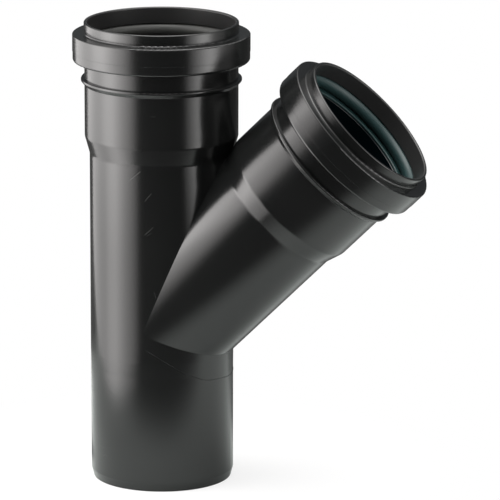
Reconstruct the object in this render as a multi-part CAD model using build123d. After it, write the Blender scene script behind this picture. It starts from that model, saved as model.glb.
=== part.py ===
from build123d import *
import math
import os

os.makedirs("parts", exist_ok=True)

# A 45 degree push-fit waste pipe branch, moulded in one piece, with a rubber
# ring seal in each of its two sockets. Millimetres, +Z up along the run. The
# origin is the centre of the spigot's end face, and the branch leans to +X.

# The pipe that the fitting belongs to
pipe_diameter = 75.0
wall = 2.3
branch_angle = 45.0

# Distances from the point where the two axes cross
crossing_height = 85.0
run_reach = 159.0
branch_reach = 159.0

# Spigot, held to the pipe's size; past it the body is slightly proud
chamfer_length = 4.5
chamfer_angle = 15.0
spigot_length = 61.0
body_rise = 0.1
body_rise_length = 8.0

# Socket: the bore that a pipe slides into, down to its tapered stop
socket_clearance = 0.35
socket_depth = 60.2
taper_length = 9.2
taper_round = 4.0

# Lip at the mouth, thinner than the rest
lip_height = 6.2
lip_wall = 1.8
lip_clearance = 1.1
mouth_round = 0.8
rim_round = 0.7
lip_foot_round = 0.8

# Housing of the ring seal
groove_depth = 6.25
groove_width = 9.8
groove_lead_in = 0.4
housing_top_round = 0.7
housing_foot_round = 1.5
neck_round = 0.8
witness_drop = 9.2
witness_step = 0.15

# Clip ring round the neck of the socket
clip_drop = 29.6
clip_height = 1.85
clip_band = 1.3
clip_fall = 2.1
clip_round = 0.6

# Ring seal, at the size that it takes round a pipe
seal_clearance = 0.1
seal_pipe_gap = 0.15
seal_band = 2.2
seal_heel_width = 7.6
seal_heel_bulge = 3.1
seal_lip_root = 1.7
seal_lip_width = 1.2
seal_tip_round = 0.4

# How far a cutting solid runs past what it cuts
overrun = 5.0

# Radii worked out from the sizes above
pipe_radius = pipe_diameter / 2
pipe_bore = pipe_radius - wall
body_radius = pipe_radius + body_rise
spigot_end_radius = pipe_radius - chamfer_length * math.tan(math.radians(chamfer_angle))
socket_bore = pipe_radius + socket_clearance
socket_radius = socket_bore + wall
lip_bore = pipe_radius + lip_clearance
lip_radius = lip_bore + lip_wall
groove_radius = socket_bore + groove_depth
housing_radius = groove_radius + wall
lower_housing_radius = housing_radius - witness_step
clip_radius = socket_radius + clip_height

# Depths below a mouth, worked out from the sizes above
groove_top = lip_height + wall
groove_foot = groove_top + groove_width
housing_foot = groove_foot + wall
witness_depth = lip_height + witness_drop
clip_band_foot = clip_drop + clip_band
clip_foot = clip_band_foot + clip_fall
taper_foot = socket_depth + taper_length


def rounded(face, corner, radius):
    """A flat (r, z) face with one of its corners rounded."""
    r, z = corner
    return fillet(face.vertices().sort_by_distance((r, z, 0))[0], radius)


def turned(outline, rounds):
    """Turns an (r, z) outline about Z, once the corners in rounds have their radius."""
    face = make_face(Polyline(*outline, close=True))
    for r, z, radius in rounds:
        face = rounded(face, (r, z), radius)
    return revolve(Plane.XZ * face, Axis.Z)


def pipe_and_socket(mouth, tail):
    """The outside of a pipe that ends in a socket with its mouth at z = mouth."""
    outline = [
        (0, mouth),
        (lip_radius, mouth),
        (lip_radius, mouth - lip_height),
        (housing_radius, mouth - lip_height),
        (housing_radius, mouth - witness_depth + witness_step),
        (lower_housing_radius, mouth - witness_depth),
        (lower_housing_radius, mouth - housing_foot),
        (socket_radius, mouth - housing_foot),
        (socket_radius, mouth - clip_drop),
        (clip_radius, mouth - clip_drop),
        (clip_radius, mouth - clip_band_foot),
        (socket_radius, mouth - clip_foot),
        (socket_radius, mouth - socket_depth),
        (body_radius, mouth - taper_foot),
    ]
    rounds = [
        (lip_radius, mouth, rim_round),
        (lip_radius, mouth - lip_height, lip_foot_round),
        (housing_radius, mouth - lip_height, housing_top_round),
        (lower_housing_radius, mouth - housing_foot, housing_foot_round),
        (socket_radius, mouth - housing_foot, neck_round),
        (clip_radius, mouth - clip_drop, clip_round),
        (clip_radius, mouth - clip_band_foot, clip_round),
        (socket_radius, mouth - socket_depth, taper_round),
        (body_radius, mouth - taper_foot, taper_round),
    ]
    return turned(outline + tail, rounds)


def passage(mouth, foot):
    """The space inside a socket and its pipe, from past the mouth down to z = foot."""
    outline = [
        (0, mouth + overrun),
        (lip_radius, mouth + overrun),
        (lip_radius, mouth),
        (lip_bore, mouth),
        (lip_bore, mouth - groove_top),
        (groove_radius, mouth - groove_top),
        (groove_radius, mouth - groove_foot),
        (socket_bore + groove_lead_in, mouth - groove_foot),
        (socket_bore, mouth - groove_foot - groove_lead_in),
        (socket_bore, mouth - socket_depth),
        (pipe_bore, mouth - taper_foot),
        (pipe_bore, foot),
        (0, foot),
    ]
    return turned(outline, [(lip_bore, mouth, mouth_round)])


def ring_seal(mouth):
    """A seal in its groove: an outer band, a bulging heel towards the mouth and a lip below it."""
    top = mouth - groove_top - seal_clearance
    foot = mouth - groove_foot + seal_clearance
    outer = groove_radius - seal_clearance
    band = outer - seal_band
    inner = pipe_radius + seal_pipe_gap
    heel_edge = inner + seal_heel_bulge
    heel_middle = top - seal_heel_width / 2
    heel_foot = top - seal_heel_width
    lip_root = foot + seal_lip_root
    lip_top = foot + seal_lip_width
    heel = ThreePointArc((heel_edge, top), (inner, heel_middle), (heel_edge, heel_foot))
    rest = Polyline(
        (heel_edge, heel_foot),
        (band, lip_root),
        (inner, lip_top),
        (inner, foot),
        (outer, foot),
        (outer, top),
        (heel_edge, top),
    )
    section = make_face([heel, rest])
    section = rounded(section, (inner, lip_top), seal_tip_round)
    section = rounded(section, (inner, foot), seal_tip_round)
    return revolve(Plane.XZ * section, Axis.Z)


lean = Rot(0, branch_angle, 0)
lift = Pos(0, 0, crossing_height)

spigot_tail = [
    (body_radius, spigot_length + body_rise_length - crossing_height),
    (pipe_radius, spigot_length - crossing_height),
    (pipe_radius, chamfer_length - crossing_height),
    (spigot_end_radius, -crossing_height),
    (0, -crossing_height),
]
run_outside = pipe_and_socket(run_reach, spigot_tail)
branch_outside = pipe_and_socket(branch_reach, [(body_radius, 0), (0, 0)])
run_passage = passage(run_reach, -crossing_height - overrun)
branch_passage = passage(branch_reach, 0)

# The two pipes are one diameter, so their walls meet in a crisp crease
outside = run_outside + lean * branch_outside
wye_body = lift * (outside - run_passage - lean * branch_passage)
run_seal = lift * ring_seal(run_reach)
branch_seal = lift * lean * ring_seal(branch_reach)

export_step(wye_body, "parts/wye_body.step")
export_step(run_seal, "parts/run_seal.step")
export_step(branch_seal, "parts/branch_seal.step")
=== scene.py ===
import math

import bmesh
import bpy
from mathutils import Matrix, Vector


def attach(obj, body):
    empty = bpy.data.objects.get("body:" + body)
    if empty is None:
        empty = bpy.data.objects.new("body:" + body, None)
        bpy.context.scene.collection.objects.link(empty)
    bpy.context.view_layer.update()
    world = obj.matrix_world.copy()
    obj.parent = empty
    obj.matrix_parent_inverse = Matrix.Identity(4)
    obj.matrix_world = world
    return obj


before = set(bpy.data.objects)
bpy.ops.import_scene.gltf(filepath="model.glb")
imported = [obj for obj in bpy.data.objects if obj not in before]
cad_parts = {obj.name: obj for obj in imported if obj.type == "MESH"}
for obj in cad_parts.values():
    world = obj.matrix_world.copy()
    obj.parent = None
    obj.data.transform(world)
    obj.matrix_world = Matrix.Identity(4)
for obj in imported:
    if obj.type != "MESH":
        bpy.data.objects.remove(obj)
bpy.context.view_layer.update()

# Camera. The photograph looks down at the front from a little to the right of
# straight on, from so far off that the pipe's two sides stay parallel. Its
# centre lies off the point where the two axes cross, at z = 85 mm.
azimuth = math.radians(15.137)
elevation = math.radians(13.76)
roll = math.radians(0.116)
crossing = Vector((0, 0, 0.085))
centre_right, centre_up = 0.046282, 0.035577
camera_distance = 2.5
sensor_width = 36
image_width, focal_pixels = 500, 4741.758

back = Vector((math.sin(azimuth) * math.cos(elevation),
               -math.cos(azimuth) * math.cos(elevation),
               math.sin(elevation)))
right = Vector((math.cos(azimuth), math.sin(azimuth), 0))
up = back.cross(right)
across = math.cos(roll) * right + math.sin(roll) * up
aim = crossing + centre_right * right + centre_up * up
camera_data = bpy.data.cameras.new("photo_camera")
camera_data.sensor_width = sensor_width
camera_data.lens = focal_pixels / image_width * sensor_width
camera_data.clip_start = 0.1
camera_data.clip_end = 20
camera = bpy.data.objects.new("photo_camera", camera_data)
bpy.context.collection.objects.link(camera)
camera.location = aim + camera_distance * back
camera.rotation_euler = Matrix((across, back.cross(across), back)).transposed().to_euler()
bpy.context.scene.camera = camera
bpy.context.scene.view_settings.view_transform = "Standard"


# Floor and room. The fitting stands on a white table in a dim studio, near the
# table's front edge. Its gloss mirrors the table, which carries painted shade on
# its left, behind it on the right and close behind the foot. To the camera both are white, with a faint
# shadow.
class Wire:
    """A shader socket that takes part in Python expressions."""

    def __init__(self, tree, socket):
        self.tree = tree
        self.socket = socket

    def node(self, kind, settings=(), inputs=(), out=0):
        """Adds a node: its settings first, then the values or links of its sockets."""
        made = self.tree.nodes.new(kind)
        for name, value in dict(settings).items():
            if name == "stops":
                ramp = made.color_ramp
                while len(ramp.elements) > 1:
                    ramp.elements.remove(ramp.elements[-1])
                for i, (place, level) in enumerate(value):
                    stop = ramp.elements[0] if i == 0 else ramp.elements.new(place)
                    stop.position = place
                    stop.color = (*level, 1)
            else:
                setattr(made, name, value)
        for name, value in dict(inputs).items():
            if isinstance(value, Wire):
                self.tree.links.new(value.socket, made.inputs[name])
            else:
                made.inputs[name].default_value = value
        return Wire(self.tree, made.outputs[out])

    def feed(self, end):
        """Links this wire to the socket that another wire stands for."""
        self.tree.links.new(self.socket, end.socket)

    def maths(self, operation, *values):
        return self.node("ShaderNodeMath", {"operation": operation}, dict(enumerate(values)))

    def vectors(self, operation, *values, out="Vector"):
        """Vector Math; out is "Value" where it gives a number."""
        return self.node("ShaderNodeVectorMath", {"operation": operation}, dict(enumerate(values)), out)

    def __add__(self, other):
        return self.maths("ADD", self, other)

    def __radd__(self, other):
        return self.maths("ADD", other, self)

    def __sub__(self, other):
        return self.maths("SUBTRACT", self, other)

    def __rsub__(self, other):
        return self.maths("SUBTRACT", other, self)

    def __mul__(self, other):
        return self.maths("MULTIPLY", self, other)

    def __rmul__(self, other):
        return self.maths("MULTIPLY", other, self)

    def __truediv__(self, other):
        return self.maths("DIVIDE", self, other)

    def ramp(self, low, high):
        """0 at low and 1 at high, smooth between; low may be the larger."""
        if low > high:
            return 1 - self.ramp(high, low)
        settings = {"interpolation_type": "SMOOTHSTEP"}
        return self.node("ShaderNodeMapRange", settings,
                         {"Value": self, "From Min": low, "From Max": high})


def blank_material(name):
    """A material with only its output node, and the wire that its look is fed to."""
    material = bpy.data.materials.new(name)
    material.use_nodes = True
    tree = material.node_tree
    tree.nodes.clear()
    output = tree.nodes.new("ShaderNodeOutputMaterial")
    return material, Wire(tree, output.inputs["Surface"])


def either(factor, first, second):
    """The first shader where factor is 0, the second where it is 1, and a mix between."""
    return factor.node("ShaderNodeMixShader", {}, {0: factor, 1: first, 2: second})


def sheet(name, corners, material):
    """A four-cornered flat sheet that is part of the studio."""
    mesh = bpy.data.meshes.new(name)
    mesh.from_pydata([tuple(corner) for corner in corners], [], [(0, 1, 2, 3)])
    mesh.materials.append(material)
    obj = bpy.data.objects.new(name, mesh)
    bpy.context.collection.objects.link(obj)
    return obj


def dot(wire, direction):
    """How far a position lies along a direction."""
    return wire.vectors("DOT_PRODUCT", wire, tuple(direction), out="Value")


ahead = Vector((math.sin(azimuth), -math.cos(azimuth), 0))
floor_half = 4
floor_material, floor_end = blank_material("table_white")
place = floor_end.node("ShaderNodeNewGeometry", out="Position")
sideways = dot(place, right)
forwards = dot(place, ahead)
table_sides = sideways.ramp(-0.45, -0.30) * sideways.ramp(1.05, 0.80)
table_ends = (forwards + 0.35 * sideways).ramp(-0.32, -0.18) * forwards.ramp(0.22, 0.10)
# Painted shade in the table's mirrored colour: on its left, behind it on the right and close behind the
# foot.
painted_shade_left = sideways.ramp(-0.02, -0.16)
painted_shade_behind_right = (forwards + 0.6 * sideways).ramp(-0.01, -0.07) * sideways.ramp(-0.04, 0.0)
painted_shade_behind_foot = ((forwards + 1.8 * sideways).ramp(0.07, 0.0) * sideways.ramp(-0.07, -0.05)
               * forwards.ramp(-0.01, -0.04))
table = (table_sides * table_ends * (1 - 0.38 * painted_shade_left) * (1 - 0.75 * painted_shade_behind_right)
         * (1 - 0.9 * painted_shade_behind_foot))
darkness = place.node("ShaderNodeBsdfDiffuse", {}, {"Color": (0.06, 0.06, 0.06, 1)})
paper = place.node("ShaderNodeBsdfDiffuse", {}, {"Color": (0.61, 0.65, 0.635, 1)})
mirrored = either(table, darkness, paper)

from_foot = place.vectors("LENGTH", place, out="Value")
shadow = 0.25 * from_foot.ramp(0.16, 0.03)
shaded = place.node("ShaderNodeBsdfDiffuse", {}, {"Color": (0.82, 0.82, 0.82, 1)})
white = place.node("ShaderNodeEmission", {}, {"Color": (1, 1, 1, 1), "Strength": 1.0})
by_camera = place.node("ShaderNodeLightPath", out="Is Camera Ray")
either(by_camera, mirrored, either(shadow, white, shaded)).feed(floor_end)
sheet("table", [(-floor_half, -floor_half, 0), (floor_half, -floor_half, 0),
                (floor_half, floor_half, 0), (-floor_half, floor_half, 0)], floor_material)

world = bpy.data.worlds.new("room")
bpy.context.scene.world = world
world.use_nodes = True
world.node_tree.nodes.clear()
room_output = world.node_tree.nodes.new("ShaderNodeOutputWorld")
room_end = Wire(world.node_tree, room_output.inputs["Surface"])
dim = room_end.node("ShaderNodeBackground", {}, {"Color": (0.9, 0.95, 1, 1), "Strength": 0.10})
pale = room_end.node("ShaderNodeBackground", {}, {"Color": (1, 1, 1, 1), "Strength": 1.0})
by_camera = room_end.node("ShaderNodeLightPath", out="Is Camera Ray")
either(by_camera, dim, pale).feed(room_end)


# Lights. One long upright softbox runs along the left of the table, another
# along its right, brightest towards the front, and a wide soft one hangs
# overhead. They are hidden from the camera, so no view has them in it.
def light_material(end, colour, *profiles):
    """One-sided light, its profiles multiplied: each is a way from 0 to 1 and the levels along it."""
    strength = 1
    parts = []
    for way, levels in profiles:
        strongest = max(level for _, level in levels)
        strength *= strongest
        hue = (1, 1, 1) if parts else colour
        stops = [(at, [level / strongest * channel for channel in hue]) for at, level in levels]
        parts.append(end.node("ShaderNodeValToRGB", {"stops": stops}, {"Fac": way}))
    glow = parts[0]
    for part in parts[1:]:
        glow = glow.vectors("MULTIPLY", glow, part)
    lit = end.node("ShaderNodeEmission", {}, {"Color": glow, "Strength": strength})
    from_behind = end.node("ShaderNodeNewGeometry", out="Backfacing")
    nothing = end.node("ShaderNodeBsdfTransparent")
    either(from_behind, lit, nothing).feed(end)


def softbox(name, near, far, height, colour, along, upwards):
    """An upright lit sheet along the floor, with its levels from near to far and upwards."""
    material, end = blank_material(name)
    where = end.node("ShaderNodeNewGeometry", out="Position")
    from_near = where.vectors("SUBTRACT", where, tuple(near))
    path = far - near
    light_material(end, colour, (dot(from_near, path / path.length_squared), along),
                   (dot(where, (0, 0, 1 / height)), upwards))
    top = Vector((0, 0, height))
    sheet(name, [near, far, far + top, near + top], material).visible_camera = False


def on_floor(to_the_left, towards_camera):
    """A floor point by how far it lies to the camera's left and towards the camera."""
    return to_the_left * -right + towards_camera * ahead


softbox("left_softbox", near=on_floor(0.144, 0.264), far=on_floor(0.365, -0.450), height=0.42,
        colour=(1.0, 0.975, 0.965),
        along=[(0.0, 0.0), (0.045, 0.3), (0.072, 1.1), (0.135, 2.5), (0.188, 3.5), (0.236, 4.8),
               (0.281, 5.7), (0.338, 4.8), (0.398, 3.1), (0.477, 2.5), (0.615, 2.3), (1.0, 2.0)],
        upwards=[(0.0, 0.97), (0.19, 1.0), (0.37, 1.4), (0.43, 1.45), (0.5, 1.75), (0.6, 1.3),
                 (0.72, 1.0), (1.0, 0.9)])
softbox("right_softbox", near=on_floor(-1.10, -0.37), far=on_floor(-0.32, 0.46), height=0.6,
        colour=(1.0, 0.99, 0.98),
        along=[(0.0, 0.4), (0.4, 0.7), (0.56, 1.2), (0.62, 2.6), (0.69, 4.8), (0.77, 5.0),
               (0.85, 3.2), (0.94, 1.4), (1.0, 0.3)],
        upwards=[(0.0, 0.6), (0.08, 0.75), (0.13, 1.05), (0.2, 1.2), (0.28, 1.0), (0.45, 0.7),
                 (1.0, 0.7)])

overhead_half, overhead_height = 2.4, 1.3
overhead, overhead_end = blank_material("overhead_softbox")
where = overhead_end.node("ShaderNodeNewGeometry", out="Position")
from_middle = where.vectors("LENGTH", where.vectors("MULTIPLY", where, (1, 1, 0)), out="Value")
light_material(overhead_end, (1.0, 0.99, 0.98), (from_middle / overhead_half, [
    (0.0, 7.0), (0.15, 6.5), (0.24, 3.5), (0.33, 1.4), (0.5, 0.8), (0.8, 0.4), (1.0, 0.0)]))
sheet("overhead_softbox", [(-overhead_half, -overhead_half, overhead_height),
                           (-overhead_half, overhead_half, overhead_height),
                           (overhead_half, overhead_half, overhead_height),
                           (overhead_half, -overhead_half, overhead_height)],
      overhead).visible_camera = False


# The fitting. One injection moulding in black polypropylene: run, branch, both
# sockets with their lips, ring housings and clip rings. The mould's turned
# inserts left faint lines round it, and handling a few fine scratches and pits.
def noise(where, scale, detail, roughness=0.5):
    """Noise over a position, with about as many grains to its unit as scale says."""
    return where.node("ShaderNodeTexNoise", {}, {"Vector": where, "Scale": scale, "Detail": detail,
                                                 "Roughness": roughness})


def blend(factor, first, second):
    """A colour that goes from first to second as factor goes from 0 to 1."""
    first_colour, second_colour, colour_out = 6, 7, 2
    return factor.node("ShaderNodeMix", {"data_type": "RGBA"},
                       {0: factor, first_colour: first, second_colour: second}, colour_out)


plastic, plastic_end = blank_material("pipe_plastic_look")
spot = plastic_end.node("ShaderNodeTexCoord", out="Object")
from_crossing = spot.vectors("SUBTRACT", spot, tuple(crossing))
crease_lean = math.radians(45 / 2)
beyond_crease = dot(from_crossing, (math.cos(crease_lean), 0, -math.sin(crease_lean)))
above_saddle = dot(from_crossing, (math.sin(crease_lean), 0, math.cos(crease_lean)))
on_branch = beyond_crease.ramp(-0.0001, 0.0001) * above_saddle.ramp(-0.0001, 0.0001)
along_run = dot(from_crossing, (0, 0, 1))
along_branch = dot(from_crossing, (math.sqrt(0.5), 0, math.sqrt(0.5)))
along = along_run + on_branch * (along_branch - along_run)
distance = spot.vectors("LENGTH", from_crossing, out="Value")
radius = spot.maths("SQRT", distance * distance - along * along)

# Grain of the moulded skin, and the lines that a lathe left in the mould
lines_per_metre, lines_round = 2600.0, 24.0
broad = noise(spot, 26.0, 3.0)
fine = noise(spot, 900.0, 4.0)
turned = spot.node("ShaderNodeCombineXYZ", {}, {"X": lines_per_metre * along,
                                                "Y": lines_round * dot(spot, (0, 1, 0)),
                                                "Z": lines_round * dot(spot, (-0.4, 0, 0.9))})
in_socket = along.ramp(0.098, 0.104)
turning = noise(turned, 1.0, 2.0) * in_socket

# Scratches and pits on the front, each with its start, end and half width in
# millimetres, and hairlines where the surface was rubbed
mm_per_metre = 1000
scratch_marks = [((-6.3, -37.1, 167.0), (-0.7, -37.6, 171.8), 0.24),
                 ((1.9, -37.6, 156.5), (5.1, -37.3, 160.4), 0.22),
                 ((1.8, -37.6, 138.5), (6.0, -37.2, 142.6), 0.22),
                 ((2.6, -37.6, 137.9), (5.0, -37.3, 139.4), 0.16),
                 ((6.4, -37.0, 108.2), (7.5, -36.9, 105.0), 0.16)]
pit_marks = [((-13.4, -35.1, 88.3), (-13.3, -35.2, 88.0), 0.42),
             ((-32.5, -23.6, 204.6), (-32.4, -23.7, 204.3), 0.42)]


def stroke(start, end, width):
    """1 on the line from start to end and 0 off it, fading over the outer two thirds of width."""
    start, end, width = Vector(start) / mm_per_metre, Vector(end) / mm_per_metre, width / mm_per_metre
    path = end - start
    offset = spot.vectors("SUBTRACT", spot, tuple(start))
    part = offset.node("ShaderNodeClamp", {}, {"Value": dot(offset, path / path.length_squared)})
    foot = offset.node("ShaderNodeVectorMath", {"operation": "SCALE"}, {0: tuple(path), "Scale": part})
    return offset.vectors("DISTANCE", offset, foot, out="Value").ramp(width, width / 3)


def strokes(marks):
    """All the strokes of a list together."""
    first, *others = [stroke(*mark) for mark in marks]
    return sum(others, first)


scratches = strokes(scratch_marks)
pits = strokes(pit_marks)
rub = noise(spot, 55.0, 6.0, roughness=0.7)
drawn_out = spot.node("ShaderNodeMapping", {}, {"Vector": spot, "Rotation": (0.3, 0.75, 0.2),
                                                "Scale": (60.0, 60.0, 1900.0)})
scuffed = noise(drawn_out, 1.0, 1.0).ramp(0.70, 0.76) * rub.ramp(0.56, 0.68)

# Inside of the lips, lightened as painted light, and inside of the branch below its seal, darkened
# blue-green as painted shade
painted_light_in_mouth = along.ramp(0.1500, 0.1506) * radius.ramp(0.0395, 0.0390)
in_pipe_bore = radius.ramp(0.0363, 0.0357)
in_socket_bore = radius.ramp(0.0383, 0.0379) * along.ramp(0.098, 0.100)
below_seal = along.ramp(0.1440, 0.1420)
painted_shade_in_branch_bore = below_seal * spot.maths("MAXIMUM", in_pipe_bore, in_socket_bore) * on_branch

tint = blend(broad, (0.0056, 0.0062, 0.0061, 1), (0.0084, 0.0088, 0.0086, 1))
# Painted light lightens the inside of the lips, and painted shade darkens the branch's bore below its
# seal.
tint = blend(painted_light_in_mouth, tint, (0.017, 0.017, 0.017, 1))
tint = blend(painted_shade_in_branch_bore, tint, (0.0005, 0.0025, 0.0035, 1))
tint = blend(scratches + 0.4 * scuffed, tint, (0.040, 0.040, 0.039, 1))
moulded_roughness = 0.125
rough = (moulded_roughness + 0.05 * broad + 0.04 * fine + 0.05 * turning + 0.12 * scratches
         + 0.12 * scuffed + 0.15 * painted_light_in_mouth)
relief = fine + 0.9 * turning - 1.5 * scratches - 4.0 * pits - 0.5 * scuffed
skin = spot.node("ShaderNodeBump", {}, {"Strength": 0.10, "Distance": 0.0002, "Height": relief})
spot.node("ShaderNodeBsdfPrincipled", {},
          {"Base Color": tint, "Roughness": rough, "Normal": skin}).feed(plastic_end)
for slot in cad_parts["wye_body"].material_slots:
    slot.material = plastic

# Parting line of the mould. The slide that forms the branch met the mould's
# halves below the saddle, and a fine raised line of plastic marks the joint
# from the front of the run, round its right side, to the back. Millimetres.
line_start = 3.5
line_heights = [(3.5, 76.6), (12, 73.2), (32, 64.9), (42, 61.6), (50, 59.3), (56, 58.4),
                (64, 57.9), (90, 56.6)]
line_steps, fade_steps = 88, 4
pipe_radius, body_rise = 37.5, 0.1
spigot_length, body_rise_length = 61, 8
end_rise, full_rise = 0.02, 0.13
half_root, root_depth = 0.2, 0.3
half_foot, half_top = 0.17, 0.05


def line_height(degrees):
    """Height of the parting line, at an angle from the run's front."""
    degrees = min(degrees, 180 - degrees)
    for (a, low), (b, high) in zip(line_heights, line_heights[1:]):
        if degrees <= b:
            return low + (high - low) * (degrees - a) / (b - a)


line = bmesh.new()
rings = []
for step in range(line_steps + 1):
    degrees = line_start + (180 - 2 * line_start) * step / line_steps
    angle = math.radians(degrees)
    outward = Vector((math.sin(angle), -math.cos(angle), 0))
    middle = line_height(degrees)
    surface = pipe_radius + body_rise * min(1, max(0, (middle - spigot_length) / body_rise_length))
    fade = min(1, step / fade_steps, (line_steps - step) / fade_steps)
    rise = end_rise + (full_rise - end_rise) * fade
    section = [(-half_root, -root_depth), (half_root, -root_depth), (half_foot, 0.0),
               (half_top, rise), (-half_top, rise), (-half_foot, 0.0)]
    rings.append([line.verts.new(((surface + out) * outward + Vector((0, 0, middle + lift)))
                                 / mm_per_metre) for lift, out in section])
for near, far in zip(rings, rings[1:]):
    for i in range(len(near)):
        j = (i + 1) % len(near)
        line.faces.new((near[i], near[j], far[j], far[i]))
line.faces.new(list(reversed(rings[0])))
line.faces.new(rings[-1])
bmesh.ops.recalc_face_normals(line, faces=line.faces)
line_mesh = bpy.data.meshes.new("parting_line")
line.to_mesh(line_mesh)
line.free()
line_mesh.materials.append(plastic)
parting_line = bpy.data.objects.new("parting_line", line_mesh)
bpy.context.collection.objects.link(parting_line)
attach(parting_line, "root")

# The two ring seals. Each is one moulded ring of black rubber, snapped into its
# groove and greased at the works, so it is a little shiny. Their colours carry painted light: both are
# lighter than black rubber for the light on their bands, the one in the branch with a painted
# blue-green cast and the one in the run a plain neutral.
rubber, rubber_end = blank_material("ring_rubber_look")
spot = rubber_end.node("ShaderNodeTexCoord", out="Object")
grease = noise(spot, 90.0, 3.0)
grain = noise(spot, 1500.0, 2.0)
# Painted light: these colours are lightened for the shine on the seals, and the branch's blue-green is
# a painted colour cast.
painted_cast_light = blend(grease, (0.010, 0.031, 0.031, 1), (0.015, 0.041, 0.042, 1))
painted_neutral_light = blend(grease, (0.028, 0.029, 0.027, 1), (0.040, 0.041, 0.038, 1))
in_branch = dot(spot, (1, 0, 0)).ramp(0.045, 0.065)
rubber_roughness = 0.40
rough = rubber_roughness + 0.14 * grease + 0.05 * grain
skin = spot.node("ShaderNodeBump", {}, {"Strength": 0.12, "Distance": 0.0001, "Height": grain + grease})
spot.node("ShaderNodeBsdfPrincipled", {}, {"Base Color": blend(in_branch, painted_neutral_light, painted_cast_light),
                                           "Roughness": rough, "Normal": skin}).feed(rubber_end)
for name in ("run_seal", "branch_seal"):
    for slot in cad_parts[name].material_slots:
        slot.material = rubber
